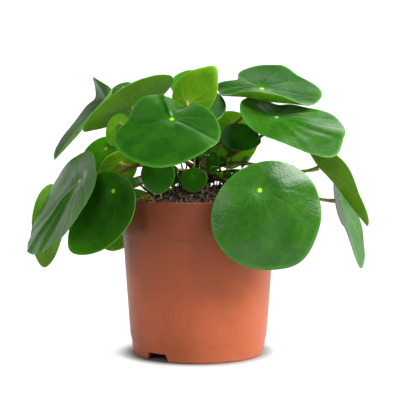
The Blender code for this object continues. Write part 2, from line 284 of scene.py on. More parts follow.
def makeVeinGroup():
    # Phase counts main veins round the leaf, Radius is millimetres from the stalk's spot
    tree, given, out = startGroup(
        "leafVeins",
        [("Phase", "Float", 0.0), ("Radius", "Float", 0.0), ("Share", "Float", 0.0),
         ("Spacing", "Float", 0.7), ("Main Width", "Float", 0.55), ("Branch Width", "Float", 0.35)],
        [("Main", "Float"), ("Branch", "Float"), ("Spot", "Float"), ("Halo", "Float"), ("Pillow", "Float")])
    away = calc(tree, "PINGPONG", given["Phase"], 0.5)
    reach = times(tree, times(tree, away, given["Radius"]), given["Spacing"])
    thin = ramp(tree, given["Share"], 0.0, 1.0, 1.0, 0.35, "LINEAR")
    near = calc(tree, "DIVIDE", reach, times(tree, given["Main Width"], thin))
    tree.links.new(ramp(tree, near, 0.3, 1.0, 1.0, 0.0), out["Main"])
    slant = calc(tree, "SUBTRACT", calc(tree, "DIVIDE", given["Radius"], 8.0), times(tree, away, 1.9))
    side = times(tree, calc(tree, "PINGPONG", slant, 0.5), 8.0)
    line = ramp(tree, calc(tree, "DIVIDE", side, given["Branch Width"]), 0.3, 1.0, 1.0, 0.0)
    shown = times(tree, line, ramp(tree, given["Share"], 0.12, 0.4))
    tree.links.new(shown, out["Branch"])
    tree.links.new(ramp(tree, given["Radius"], 0.9, 2.1, 1.0, 0.0), out["Spot"])
    tree.links.new(ramp(tree, given["Radius"], 0.0, 11.0, 1.0, 0.0), out["Halo"])
    puff = times(tree, ramp(tree, near, 0.0, 3.0), ramp(tree, side, 0.0, 1.6))
    tree.links.new(puff, out["Pillow"])
    return tree


def makePuckerGroup():
    tree, given, out = startGroup(
        "leafPucker",
        [("Vector", "Vector", None), ("Cell Scale", "Float", 60.0), ("Fine Scale", "Float", 260.0)],
        [("Height", "Float"), ("Cells", "Float")])
    warp = addNode(tree, "TexNoise", {"Vector": given["Vector"], "Scale": 14.0, "Detail": 2.0})
    shift = addNode(tree, "VectorMath", {0: warp.outputs["Color"], 1: (0.05, 0.05, 0.0)},
                    operation="MULTIPLY")
    moved = addNode(tree, "VectorMath", {0: given["Vector"], 1: shift.outputs[0]}, operation="ADD").outputs[0]
    cells = addNode(tree, "TexVoronoi", {"Vector": moved, "Scale": given["Cell Scale"], "Smoothness": 0.7},
                    feature="SMOOTH_F1")
    fine = addNode(tree, "TexNoise", {"Vector": moved, "Scale": given["Fine Scale"], "Detail": 3.0})
    wide = addNode(tree, "TexNoise", {"Vector": moved, "Scale": 9.0, "Detail": 2.0})
    bulge = calc(tree, "SUBTRACT", 1.0, cells.outputs["Distance"])
    total = calc(tree, "ADD", bulge, times(tree, fine.outputs["Fac"], 0.35))
    total = calc(tree, "ADD", total, times(tree, wide.outputs["Fac"], 1.5))
    tree.links.new(total, out["Height"])
    tree.links.new(cells.outputs["Distance"], out["Cells"])
    return tree


def makePatchGroup():
    tree, given, out = startGroup(
        "colourPatches", [("Vector", "Vector", None), ("Scale", "Float", 8.0), ("Low", "Color", (0, 0, 0, 1)),
                          ("High", "Color", (1, 1, 1, 1))], [("Color", "Color"), ("Mask", "Float")])
    cloud = addNode(tree, "TexNoise", {"Vector": given["Vector"], "Scale": given["Scale"], "Detail": 4.0,
                                       "Roughness": 0.6})
    mask = ramp(tree, cloud.outputs["Fac"], 0.36, 0.64)
    tree.links.new(blend(tree, mask, given["Low"], given["High"]), out["Color"])
    tree.links.new(mask, out["Mask"])
    return tree


def makeFleckGroup():
    tree, given, out = startGroup(
        "dustFlecks", [("Vector", "Vector", None), ("Scale", "Float", 300.0), ("Amount", "Float", 0.12)],
        [("Mask", "Float")])
    cells = addNode(tree, "TexVoronoi", {"Vector": given["Vector"], "Scale": given["Scale"]})
    size = addNode(tree, "TexNoise", {"Vector": given["Vector"], "Scale": 25.0, "Detail": 2.0})
    edge = times(tree, given["Amount"], ramp(tree, size.outputs["Fac"], 0.45, 0.7))
    mask = calc(tree, "LESS_THAN", cells.outputs["Distance"], edge)
    tree.links.new(mask, out["Mask"])
    return tree


veinGroup = makeVeinGroup()
puckerGroup = makePuckerGroup()
patchGroup = makePatchGroup()
fleckGroup = makeFleckGroup()


# ---- leaf finishes ----

leafFinish = {
    "top": {"low": (0.008, 0.075, 0.001, 1), "high": (0.020, 0.120, 0.002, 1),
        "bright": (0.09, 0.34, 0.01, 1), "vein": (0.03, 0.20, 0.008, 1), "veinShow": 0.22,
        "branchShow": 0.08, "edge": (0.06, 0.27, 0.01, 1), "spot": (0.42, 0.85, 0.03, 1),
        "rough": (0.28, 0.36), "puckerDepth": 0.00012, "pillow": 0.06, "glow": 0.05, "shine": 0.38},
    "under": {"low": (0.095, 0.30, 0.004, 1), "high": (0.14, 0.38, 0.008, 1),
        "bright": (0.20, 0.42, 0.014, 1), "vein": (0.24, 0.46, 0.05, 1), "veinShow": 0.4,
        "branchShow": 0.15, "edge": (0.18, 0.40, 0.03, 1), "spot": (0.40, 0.40, 0.10, 1),
        "rough": (0.55, 0.68), "puckerDepth": 0.00011, "pillow": -0.4, "glow": 0.3, "shine": 0.15},
    "youngTop": {"low": (0.03, 0.19, 0.004, 1), "high": (0.06, 0.28, 0.006, 1),
        "bright": (0.20, 0.50, 0.012, 1), "vein": (0.13, 0.40, 0.02, 1), "veinShow": 0.35,
        "branchShow": 0.12, "edge": (0.18, 0.46, 0.02, 1), "spot": (0.55, 0.75, 0.06, 1),
        "rough": (0.30, 0.42), "puckerDepth": 0.00014, "pillow": 0.3, "glow": 0.3, "shine": 0.35},
    # the bright colour below is a painted backlit glow, mixed in by a leaf's tone
    "youngUnder": {"low": (0.11, 0.32, 0.004, 1), "high": (0.17, 0.40, 0.006, 1),
        "bright": (0.50, 0.80, 0.03, 1), "vein": (0.40, 0.60, 0.07, 1), "veinShow": 0.35,
        "branchShow": 0.12, "edge": (0.32, 0.54, 0.03, 1), "spot": (0.60, 0.65, 0.20, 1),
        "rough": (0.42, 0.55), "puckerDepth": 0.00012, "pillow": -0.5, "glow": 0.45, "shine": 0.1},
}


def makeLeafPaint(name, look):
    paint, tree, shader = startPaint(name, {
        "Specular IOR Level": look["shine"], "Subsurface Weight": look["glow"], "Subsurface Scale": 0.0015,
        "Subsurface Radius": (0.5, 1.0, 0.15)})
    flat = addNode(tree, "UVMap", uv_map="leafFlat").outputs["UV"]
    vein = mapParts(tree, "leafVeins")
    tone = mapParts(tree, "leafTone")
    ribs = useGroup(tree, veinGroup, {"Phase": vein["X"], "Radius": vein["Y"], "Share": tone["X"]})
    patch = patches(tree, flat, 5.0, look["low"], look["high"])
    pucker = useGroup(tree, puckerGroup, {"Vector": flat})
    # partly painted light: the tone mixes the leaf towards its bright colour, for backlit glow, sheen and lit
    # rims as well as paler leaf colour
    color = blend(tree, ramp(tree, tone["Y"], 0.0, 1.0, 0.0, 1.0, "LINEAR"), patch["Color"], look["bright"])
    color = blend(tree, times(tree, ribs["Pillow"], 0.25), color, look["low"])
    color = blend(tree, times(tree, ribs["Branch"], look["branchShow"]), color, look["vein"])
    color = blend(tree, times(tree, ribs["Main"], look["veinShow"]), color, look["vein"])
    color = blend(tree, times(tree, ribs["Halo"], 0.35), color, look["edge"])
    color = blend(tree, times(tree, ramp(tree, tone["X"], 0.93, 1.0), 0.6), color, look["edge"])
    color = blend(tree, ribs["Spot"], color, look["spot"])
    rough = ramp(tree, pucker["Cells"], 0.1, 0.8, look["rough"][0], look["rough"][1])
    depth = calc(tree, "ADD", pucker["Height"], times(tree, ribs["Pillow"], look["pillow"]))
    feed(tree, shader, color, rough, depth, look["puckerDepth"], 0.9)
    return paint


def makeMarginPaint(name, low, high):
    paint, tree, shader = startPaint(name, {"Subsurface Weight": 0.35, "Subsurface Scale": 0.0015,
                                            "Subsurface Radius": (0.6, 1.0, 0.2)})
    spot = objectSpot(tree)
    patch = patches(tree, spot, 90.0, low, high)
    rough = ramp(tree, patch["Mask"], 0.0, 1.0, 0.38, 0.55)
    feed(tree, shader, patch["Color"], rough, patch["Mask"], 0.0001, 0.4)
    return paint


leafPaints = {name: makeLeafPaint("leaf" + name[0].upper() + name[1:], look)
              for name, look in leafFinish.items()}
leafPaints["margin"] = makeMarginPaint("leafMargin", (0.07, 0.27, 0.01, 1), (0.14, 0.38, 0.03, 1))
leafPaints["youngMargin"] = makeMarginPaint("leafYoungMargin", (0.20, 0.45, 0.02, 1), (0.30, 0.54, 0.05, 1))
print("leaf finishes made")


# ---- leaves ----

leafBasics = {
    "base": 0.30, "side": 0.0, "egg": 0.04, "point": 0.04, "cup": 0.0, "fold": 0.0, "tip": 0.0, "tail": 0.0,
    "rise": 145.0, "turn": None, "soil": None, "lift": 45.0,
    "lead": 0.35, "reach": 0.35, "press": 1.2, "thick": 1.0,
    "veins": 9,  # main veins round the spot
    "dimple": 1.0, "ripple": 0.6, "puff": 0.14,  # relief in millimetres
    "lobes": (),  # degrees from the tip, millimetres up at the margin, degrees wide
    "bays": (),  # degrees from the tip, share that the outline gains or loses, degrees wide
    "curls": (),  # degrees, millimetres up at the margin, degrees wide, share where it starts
    "creases": (),  # degrees, millimetres up or down, millimetres wide
    # tone lightens a whole leaf and the edge value lightens it more towards the margin: partly the leaf's own
    # paler colour, partly painted light (backlit glow, sheen, lit rims)
    "tone": 0.0, "toneEdge": 0.06, "young": False,
    "plain": 0.0,  # 3 leaves out the pale spot
}


def leaf(node, spot, face, roll, length, width, **more):
    values = dict(leafBasics, node=node, spot=Vector(spot), face=face, roll=roll, length=length, width=width)
    values.update(more)
    return values


leaves = [
    leaf("leaf_front", (-19, -52, 177), (-6, 47), -8, 70, 77, base=0.32, cup=-0.08, egg=-0.08, side=-0.5,
         rise=152, lobes=((220, 7, 26), (174, -7, 10), (55, 2, 25)),
         bays=((52, -0.04, 22), (258, -0.15, 22), (0, -0.03, 40), (150, 0.03, 20)),
         creases=((198, 1.4, 0.9), (80, -0.6, 1.6), (262, -1.2, 5), (62, 0.7, 6)), ripple=0.35),
    leaf("leaf_front_right", (43, -68, 126.5), (6, 15), 35, 74, 82, base=0.27, side=-5, cup=-0.28, rise=132,
         lift=15, ripple=1.5, tone=0.12),
    leaf("leaf_left_outer", (-87.5, -35, 132.5), (-58, 30), -17, 84, 76, side=-5, cup=-0.1, rise=138,
         turn=-55, lift=52, lead=0.5, reach=0.3, tone=0.3, toneEdge=0.3, lobes=((340, 2.5, 35),),
         bays=((245, 0.16, 22), (178, -0.15, 24), (150, -0.12, 18), (340, 0.1, 28)),
         creases=((352, 1.6, 3.5), (22, -1.8, 5), (330, -0.8, 4))),
    # painted light: the high edge value paints this leaf's rim lighter, as if lit
    leaf("leaf_left_cupped", (-61.5, -48, 125.5), (-30, 10), -22, 60, 52, base=0.22, side=2, cup=0.2,
         rise=134, toneEdge=0.4, bays=((215, 0.1, 25), (75, -0.05, 30), (335, 0.12, 22)),
         curls=((40, 1.5, 70, 0.8),)),
    leaf("leaf_top_left", (-52, -4, 189), (-117, 54), 127, 57, 76, base=0.36, rise=158, turn=-60,
         toneEdge=0.35, bays=((270, 0.06, 15), (252, 0.1, 12))),
    leaf("leaf_left_folded", (-74, 30, 193.5), (-68, 40), -16, 79, 60, base=0.26, fold=0.32, tail=0.3,
         rise=150, tone=0.2, turn=-125, lead=0.45, lobes=((214, 16, 22), (180, 4, 20), (285, -3, 30)),
         bays=((205, -0.42, 32), (250, -0.25, 14), (280, -0.1, 25), (165, -0.3, 25))),
    leaf("leaf_top_right", (49.5, 8, 204), (8, 56), 74, 84, 58, base=0.46, side=4, egg=-0.3, cup=0.2,
         tip=-0.2, tail=-0.15, rise=157, ripple=0.3, lobes=((330, -3, 25), (225, -5, 25), (188, -2, 18)),
         bays=((88, 0.12, 22), (147, -0.34, 16), (50, -0.16, 25), (0, -0.04, 30), (195, -0.08, 15),
               (265, 0.14, 30)),
         curls=((272, 10, 42, 0.72),)),
    leaf("leaf_right_upper", (59, -15, 180.5), (8, 58), 62, 80, 66, base=0.36, egg=-0.08, point=0.0,
         fold=-0.1, tail=0.12, rise=144, lift=25, tone=0.14,
         lobes=((155, 0.5, 14), (320, -3, 30), (100, 2, 40)),
         bays=((318, 0.25, 24), (258, -0.06, 25), (115, -0.36, 20), (82, -0.22, 20), (0, 0.03, 20)),
         creases=((345, -0.7, 4), (305, 0.5, 4)), ripple=1.0),
    leaf("leaf_right_drooping", (92, -14, 143), (84, 38), 0, 75, 57, base=0.27, fold=0.5, rise=138, turn=98,
         tone=0.2, bays=((80, -0.2, 35), (40, -0.1, 25), (300, -0.12, 25), (250, 0.15, 18))),
    leaf("leaf_right_low", (111.5, 8, 117), (64, 17), -2, 70, 50, base=0.24, fold=0.1, rise=132, turn=98,
         tone=0.15, plain=3, bays=((305, -0.38, 30), (75, 0.02, 30))),
    leaf("leaf_crown_young", (-8.5, -20, 191), (170, 10), -140, 40, 31, base=0.25, point=0.1, egg=0.12,
         fold=0.15, rise=160, turn=-10, lift=30, lead=0.5, young=True, curls=((0, 3, 40, 0.8),)),
    leaf("leaf_crown_back", (-9, 20, 204.5), (0, 40), 170, 30, 29, rise=162, turn=180, young=True),
    leaf("leaf_crown_right", (3, 4, 196), (10, 40), 20, 33, 31, rise=161, turn=60),
    leaf("leaf_small_right", (26, -8, 167), (5, 30), 75, 30, 25, rise=156, thick=0.8, plain=3),
    # painted light: tone 0.8 colours this leaf a bright backlit yellow-green
    leaf("leaf_behind_right", (25, 26, 172), (175, 15), 0, 46, 46, base=0.35, rise=154, young=True,
         tone=0.8),
    leaf("leaf_low_front", (-30, -34, 142), (0, 20), 0, 28, 25, soil=(-22, -18), thick=0.8, plain=3),
    leaf("leaf_low_middle", (-3.5, -25, 137), (-15, 12), 0, 18, 21, soil=(-4, -14), thick=0.7, plain=3),
    leaf("leaf_low_right", (11, -12, 150), (-25, 8), 0, 16, 12, soil=(20, -4), thick=0.6, plain=3),
    leaf("leaf_left_back", (-73, 16, 157.5), (-30, 35), -20, 38, 36, rise=147, turn=-115, lift=30,
         young=True),
    leaf("leaf_left_inner", (-60, -8, 146), (-145, 30), 0, 36, 34, rise=142, turn=-105, young=True),
    leaf("leaf_left_low", (-119, 26, 110), (-110, 5), 0, 65, 54, rise=132, turn=-125, lead=0.5, lift=20),
    leaf("leaf_rim_left", (-46, -18, 133), (-20, 68), 0, 18, 18, soil=(-34, -10), thick=0.6, plain=3),
    leaf("leaf_top_small", (-61, 44, 208), (-20, 50), 0, 25, 21, rise=161, turn=-120, lead=0.5),
    leaf("leaf_shaded", (-60, -14, 176), (-145, 20), 10, 25, 19, rise=149, thick=0.8, plain=3),
    leaf("leaf_back_left", (-58, 56, 110), (205, 35), 10, 62, 60, cup=-0.1, rise=141, turn=-155, lift=60,
         lead=0.5, press=0.2),
    leaf("leaf_back_right", (60, 58, 122), (150, 40), -10, 62, 60, cup=-0.12, rise=136, lift=30),
    leaf("leaf_back_low", (1, 73, 110), (185, 25), 5, 61, 62, cup=-0.1, rise=151, turn=190, lift=66,
         lead=0.55, press=0.2),
    leaf("leaf_back_upper", (-14, 46, 172), (185, 50), 15, 54, 52, cup=-0.08, rise=155, turn=205),
]


def heading(turn):
    return Vector((sin(radians(turn)), -cos(radians(turn)), 0))  # 0 looks to the front, 90 to the right


def leafAxes(item):
    level = heading(item["face"][0])
    tilt = radians(item["face"][1])
    roll = radians(item["roll"])
    up = Vector((0, 0, 1))
    normal = level * cos(tilt) + up * sin(tilt)
    down = level * sin(tilt) - up * cos(tilt)
    across = normal.cross(down)
    tip = down * cos(roll) + across * sin(roll)
    return tip, normal.cross(tip), normal


def nearAngle(angle, middle, wide):
    gap = (angle * 180 / pi - middle + 180) % 360 - 180
    return exp(-(gap / wide) ** 2)


def leafEdge(item, angle):
    reach = 0.5 - item["base"] + 0.5 * cos(angle) + item["point"] * max(0, cos(angle)) ** 12
    along = reach * item["length"]
    across = item["side"] + 0.5 * item["width"] * sin(angle) * (1 - item["egg"] * cos(angle))
    grow = 1 + sum(part * nearAngle(angle, middle, wide) for middle, part, wide in item["bays"])
    return along * grow, across * grow


def leafHeight(item, along, across, angle, share):
    length = item["length"]
    height = item["cup"] * (along * along + across * across) / length
    height += item["fold"] * (sqrt(across * across + 9) - 3)
    height += item["tip"] * max(0, along) ** 2 / length
    height += item["tail"] * 4 * min(0, along) ** 2 / length
    for middle, rise, wide in item["lobes"]:
        height += rise * nearAngle(angle, middle, wide) * share ** 2
    for middle, rise, wide, start in item["curls"]:
        height += rise * nearAngle(angle, middle, wide) * max(0, (share - start) / (1 - start)) ** 2
    return height


def veinPhase(item, angle, share, seed):
    swing = 0.16 * sin(2 * angle + seed) + 0.10 * sin(3 * angle - 2 * seed) + 0.35 * share * sin(angle)
    return (angle + swing) * item["veins"] / (2 * pi)


def leafRelief(item, along, across, angle, share, seed):
    radius = sqrt(along * along + across * across)
    size = item["length"] / 70
    relief = item["dimple"] * size * (1 - exp(-(radius / (6 * size)) ** 2))  # rises round the stalk's spot
    away = abs((veinPhase(item, angle, share, seed) + 0.5) % 1 - 0.5)
    relief += item["puff"] * size * (smoothStep(0, 0.22, away) - 0.5) * smoothStep(0.05, 0.35, share)
    roll = noise.noise(Vector((along / 24 + seed, across / 24, seed * 3.1)))
    relief += item["ripple"] * 1.6 * size * roll * smoothStep(0, 0.5, share)
    for turn, depth, wide in item["creases"]:  # each runs from the spot to the margin
        gap = radius * sin(angle - radians(turn)) if cos(angle - radians(turn)) > 0 else radius
        relief += depth * exp(-(gap / wide) ** 2) * smoothStep(0.02, 0.35, share)
    return relief


discRings = {"big": (120, 30), "small": (72, 16)}


def makeDisc(spokes, rings):
    deselectAll()
    bpy.ops.mesh.primitive_circle_add(vertices=spokes, radius=1 / rings, fill_type="TRIFAN")
    disc = bpy.context.object
    editMode("EDGE")
    selectOpenEdge()
    for ring in range(2, rings + 1):
        growRing(ring / (ring - 1), 0, (0, 0, 0))
    turnOutward()
    if disc.data.polygons[0].normal.z < 0:
        disc.data.flip_normals()
    return disc


leafDiscs = {size: named(makeDisc(*counts), "leafDisc" + size) for size, counts in discRings.items()}


def polarOf(co):
    return atan2(co.y, co.x), min(1.0, sqrt(co.x ** 2 + co.y ** 2))


def paintMaps(blade, item, seed):
    mesh = blade.data
    flat, veins, tones = freshMaps(mesh, "leafFlat", "leafVeins", "leafTone")
    for face in mesh.polygons:
        polar = [polarOf(mesh.vertices[index].co) for index in face.vertices]
        first = next(angle for angle, share in polar if share > 0.001)
        ring = [angle + 2 * pi * round((first - angle) / (2 * pi)) for angle, share in polar if share > 0.001]
        middle = sum(ring) / len(ring)
        for loop, (angle, share) in zip(face.loop_indices, polar):
            angle = middle if share <= 0.001 else angle + 2 * pi * round((middle - angle) / (2 * pi))
            along, across = (part * share for part in leafEdge(item, angle))
            flat[loop].uv = (along / 100 + 0.5, across / 100 + 0.5)
            radius = sqrt(along ** 2 + across ** 2) + item["plain"]
            veins[loop].uv = (veinPhase(item, angle, share, seed), radius)
            # lighter share from tone and edge value: partly paler leaf colour, partly painted light
            light = item["tone"] + item["toneEdge"] * share ** 3
            tones[loop].uv = (share, light + 0.08 * noise.noise(Vector((along / 30, across / 30, seed))))


def shapeBlade(blade, item, seed):
    tip, side, normal = leafAxes(item)
    body = blade.vertex_groups.new(name="body")
    for vertex in blade.data.vertices:
        angle, share = polarOf(vertex.co)
        along, across = (part * share for part in leafEdge(item, angle))
        height = leafHeight(item, along, across, angle, share)
        height += leafRelief(item, along, across, angle, share, seed)
        vertex.co = (item["spot"] + tip * along + side * across + normal * height) * mm
        body.add([vertex.index], max(0.0, 1 - share ** 3), "REPLACE")


def keepInside(ob):
    low = cadLow + Vector((boxSlack,) * 3)
    high = cadHigh - Vector((boxSlack,) * 3)
    for vertex in ob.data.vertices:
        vertex.co = [min(high[i], max(low[i], vertex.co[i])) for i in range(3)]


bladeValues = {"bigFrom": 33, "wall": 0.95, "marginWall": 0.6, "rim": 0.16, "rimSteps": 2, "rimAngle": 50,
               "smooth": 60, "firstSeed": 0.7, "seedStep": 1.37}


def makeBlade(item, seed):
    v = bladeValues
    size = "big" if item["length"] > v["bigFrom"] else "small"
    name = item["node"].replace("leaf_", "blade_")
    blade = freshCopy(leafDiscs[size], name)
    paintMaps(blade, item, seed)
    shapeBlade(blade, item, seed)
    for key in ("youngTop", "youngUnder", "youngMargin") if item["young"] else ("top", "under", "margin"):
        blade.data.materials.append(leafPaints[key])
    wall = blade.modifiers.new("wall", "SOLIDIFY")
    wall.thickness = v["wall"] * item["thick"] * mm
    wall.offset = -1
    wall.vertex_group = "body"
    wall.thickness_vertex_group = v["marginWall"]
    wall.material_offset = 1
    wall.material_offset_rim = 2
    rim = blade.modifiers.new("rim", "BEVEL")
    rim.width = v["rim"] * mm
    rim.segments = v["rimSteps"]
    rim.limit_method = "ANGLE"
    rim.angle_limit = radians(v["rimAngle"])
    applyAll(blade)
    keepInside(blade)
    smoothByAngle(blade, v["smooth"])
    return finishPiece(blade, "young_leaf" if item["young"] else "leaf_blade", item["node"])


for number, item in enumerate(leaves):
    makeBlade(item, bladeValues["firstSeed"] + number * bladeValues["seedStep"])
for disc in leafDiscs.values():
    bpy.data.objects.remove(disc, do_unlink=True)
print("blades made")


# ---- stem, stalks ----

stemValues = {"place": (3, 3), "foot": 127, "top": 163, "radius": 6.5, "taper": 1.5, "crown": 127.5,
              "soilEdge": 114, "slope": (14, 58), "sides": 40, "cuts": 44}


def soilTop(x, y):
    radius = sqrt((x - stemValues["place"][0]) ** 2 + (y - stemValues["place"][1]) ** 2)
    drop = smoothStep(*stemValues["slope"], radius)
    return stemValues["crown"] + (stemValues["soilEdge"] - stemValues["crown"]) * drop


def stemRadius(z):
    v = stemValues
    return v["radius"] - v["taper"] * (z - v["crown"]) / (v["top"] - v["crown"])


def makeStalkPaint():
    paint, tree, shader = startPaint("leafStalk", {"Subsurface Weight": 0.15, "Subsurface Scale": 0.001,
                                                   "Subsurface Radius": (1.0, 0.6, 0.2)})
    place = objectSpot(tree)
    share = mapParts(tree, "stalkRun")
    low = patches(tree, place, 120.0, (0.05, 0.018, 0.006, 1), (0.14, 0.07, 0.012, 1))
    high = patches(tree, place, 120.0, (0.20, 0.22, 0.02, 1), (0.36, 0.38, 0.07, 1))
    ripe = ramp(tree, calc(tree, "ADD", share["X"], share["Y"]), 0.35, 1.25)
    color = blend(tree, ripe, low["Color"], high["Color"])
    dots = flecks(tree, place, 900.0, 0.35)
    color = blend(tree, times(tree, dots, 0.45), color, (0.30, 0.22, 0.10, 1))
    fine = grain(tree, place, 500.0, 3.0)
    feed(tree, shader, color, ramp(tree, fine, 0.3, 0.7, 0.3, 0.5), fine, 0.0002, 0.5)
    return paint


stalkPaint = makeStalkPaint()
stalkValues = {"radius": 1.45, "flare": 0.55, "flareRun": 0.03, "heel": 0.7, "heelRun": 0.04,
               "rootWide": 1.12, "taper": 0.27, "sides": 4, "cuts": 9, "steps": 5, "smooth": 50}


def stalkEnds(item):
    normal = leafAxes(item)[2]
    end = item["spot"] - normal * (item["thick"] + 0.05)
    if item["soil"]:
        x, y = item["soil"]
        return Vector((x, y, soilTop(x, y) - 1.5)), Vector((0, 0, 1)), end, normal
    x, y = stemValues["place"]
    turn = item["turn"]
    if turn is None:
        turn = atan2(item["spot"].x - x, y - item["spot"].y) * 180 / pi
    out = heading(turn)
    return Vector((x, y, item["rise"])) + out * (stemRadius(item["rise"]) - 0.8), out, end, normal


def makeStalk(item, shade):
    v = stalkValues
    start, out, end, normal = stalkEnds(item)
    span = (end - start).length
    lift = radians(item["lift"])
    leave = out if item["soil"] else out * cos(lift) + Vector((0, 0, sin(lift)))
    arrive = ((start - end).normalized() - normal * item["press"]).normalized()
    stalk = newStrand()
    root, tip = stalk.data.splines[0].bezier_points
    first = start + leave * span * item["lead"]
    second = end + arrive * span * item["reach"]
    root.co, root.handle_right, root.handle_left = start * mm, first * mm, (start * 2 - first) * mm
    tip.co, tip.handle_left, tip.handle_right = end * mm, second * mm, (end * 2 - second) * mm
    bpy.ops.object.mode_set(mode="EDIT")
    bpy.ops.curve.select_all(action="SELECT")
    bpy.ops.curve.subdivide(number_cuts=v["cuts"])
    objectMode()
    points = stalk.data.splines[0].bezier_points
    thick = v["radius"] * (0.55 + 0.45 * min(1, item["length"] / 70))
    for index, point in enumerate(points):
        share = index / (len(points) - 1)
        point.radius = v["rootWide"] - v["taper"] * share + v["heel"] * exp(-share / v["heelRun"]) \
            + v["flare"] * exp(-(1 - share) / v["flareRun"])
    stalk = strandMesh(stalk, thick, v["sides"], v["steps"])
    named(stalk, item["node"].replace("leaf_", "petiole_"))
    editMode("VERT")
    bpy.ops.mesh.select_all(action="SELECT")
    bpy.ops.mesh.remove_doubles(threshold=0.00001)
    turnOutward()
    run, = freshMaps(stalk.data, "stalkRun")
    for loop in stalk.data.loops:
        co = stalk.data.vertices[loop.vertex_index].co
        near, far = (co - start * mm).length, (co - end * mm).length
        run[loop.index].uv = (near / (near + far), shade)
    wear(stalk, stalkPaint)
    smoothByAngle(stalk, v["smooth"])
    return finishPiece(stalk, "leaf_stalk", item["node"].replace("leaf_", "stalk_"))


stalkShades = {"leaf_left_outer": -0.3, "leaf_left_back": 0.5, "leaf_right_drooping": 0.5,
               "leaf_right_low": 0.6, "leaf_right_upper": -0.6, "leaf_top_left": 0.6}
for item in leaves:
    makeStalk(item, stalkShades.get(item["node"], 0.0))
print("stalks made")


def makeStemPaint():
    paint, tree, shader = startPaint("stemBark", {})
    place = objectSpot(tree)
    tall = addNode(tree, "Mapping", {"Vector": place, "Scale": (1.0, 1.0, 0.25)}).outputs[0]
    patch = patches(tree, tall, 160.0, (0.05, 0.03, 0.012, 1), (0.17, 0.13, 0.05, 1))
    cracks = addNode(tree, "TexVoronoi", {"Vector": tall, "Scale": 420.0}, feature="DISTANCE_TO_EDGE")
    gap = ramp(tree, cracks.outputs["Distance"], 0.0, 0.12)
    color = blend(tree, gap, (0.02, 0.012, 0.006, 1), patch["Color"])
    height = calc(tree, "ADD", gap, patch["Mask"])
    feed(tree, shader, color, ramp(tree, gap, 0.0, 1.0, 0.9, 0.6), height, 0.0005, 0.8)
    return paint


def makeStem():
    v = stemValues
    place = v["place"]
    height = v["top"] - v["foot"]
    middle = (place[0] * mm, place[1] * mm, (v["foot"] + height / 2) * mm)
    deselectAll()
    bpy.ops.mesh.primitive_cylinder_add(vertices=v["sides"], radius=v["radius"] * mm, depth=height * mm,
                                        location=middle)
    stem = settle(named(bpy.context.object, "stemTrunk"))
    editMode("EDGE")
    bpy.ops.mesh.select_all(action="DESELECT")
    objectMode()
    for edge in stem.data.edges:
        ends = [stem.data.vertices[i].co.z for i in edge.vertices]
        edge.select = abs(ends[0] - ends[1]) > 0.01
    editMode("EDGE")
    bpy.ops.mesh.subdivide(number_cuts=v["cuts"])
    objectMode()
    for vertex in stem.data.vertices:
        z = vertex.co.z / mm
        side = Vector((vertex.co.x - place[0] * mm, vertex.co.y - place[1] * mm, 0))
        turn = atan2(side.y, side.x)
        rough = noise.noise(Vector((cos(turn) * 2, sin(turn) * 2, z / 4)))
        rings = 0.35 * sin(z * 1.4 + 2 * sin(turn + z / 9))
        wide = stemRadius(z) + 0.5 * rough + 0.5 * rings
        wide *= 0.35 + 0.65 * smoothStep(v["top"] + 0.3, v["top"] - 4, z)
        vertex.co.x = place[0] * mm + cos(turn) * wide * mm
        vertex.co.y = place[1] * mm + sin(turn) * wide * mm
    stem.data.materials.append(makeStemPaint())
    smoothByAngle(stem, 60)
    return finishPiece(stem, "stem_bark", "main_stem")


makeStem()
print("stem made")


# ---- young shoots at the foot ----

shootValues = {
    "stalk": (0.55, 0.95),  # thinnest and thickest, in millimetres
    "tipWide": 0.6,  # share of the thickness left at the tip
    "litter": 34,  # short stubs with a small leaf round the stem's foot
    "stubWide": 0.6, "stubSize": (7, 13), "stubRise": (1, 9), "stubSpread": (-38, 38, -2, 24),
    # foot x, y, tip x, y, z, leaf length (0 for none)
    "shoots": [(4, 10, -1, 8, 158, 0), (8, 8, 6, 12, 164, 0), (12, 6, 14, 14, 157, 13),
        (16, 8, 26, 16, 152, 15), (-6, -8, -3, -6, 152, 0), (-2, -12, 1, -9, 148, 10),
        (12, -10, 10, -14, 138, 9), (20, 2, 22, -4, 146, 12), (24, 8, 34, 6, 143, 12),
        (-12, -14, -16, -20, 139, 10), (-20, -12, -26, -22, 131, 9), (-26, -8, -30, -14, 137, 11),
        (-8, 6, -14, 12, 150, 14), (18, -10, 16, -20, 134, 8), (8, 14, 10, 20, 168, 14),
        (-10, -2, -9, 2, 156, 0)],
    "looks": {"pale": ((0.16, 0.28, 0.02, 1), (0.38, 0.42, 0.08, 1)),
              "dark": ((0.03, 0.02, 0.006, 1), (0.10, 0.07, 0.015, 1)),
              "leaf": ((0.03, 0.20, 0.004, 1), (0.16, 0.42, 0.015, 1))},
}


def makeShootPaint(name, low, high):
    paint, tree, shader = startPaint(name, {"Subsurface Weight": 0.25, "Subsurface Scale": 0.001,
                                            "Specular IOR Level": 0.3})
    place = objectSpot(tree)
    patch = patches(tree, place, 140.0, low, high)
    fine = grain(tree, place, 600.0, 3.0)
    feed(tree, shader, patch["Color"], ramp(tree, fine, 0.3, 0.7, 0.35, 0.5), fine, 0.0002, 0.5)
    return paint


def makeShootStalk(foot, tip, rise, wide):
    stalk = newStrand()
    bend = Vector((0, 0, rise))
    for point, spot in zip(stalk.data.splines[0].bezier_points, (foot, tip)):
        point.co = spot * mm
        point.handle_left = (spot - bend) * mm
        point.handle_right = (spot + bend) * mm
    stalk.data.splines[0].bezier_points[1].radius = shootValues["tipWide"]
    return strandMesh(stalk, wide, 3, 14)


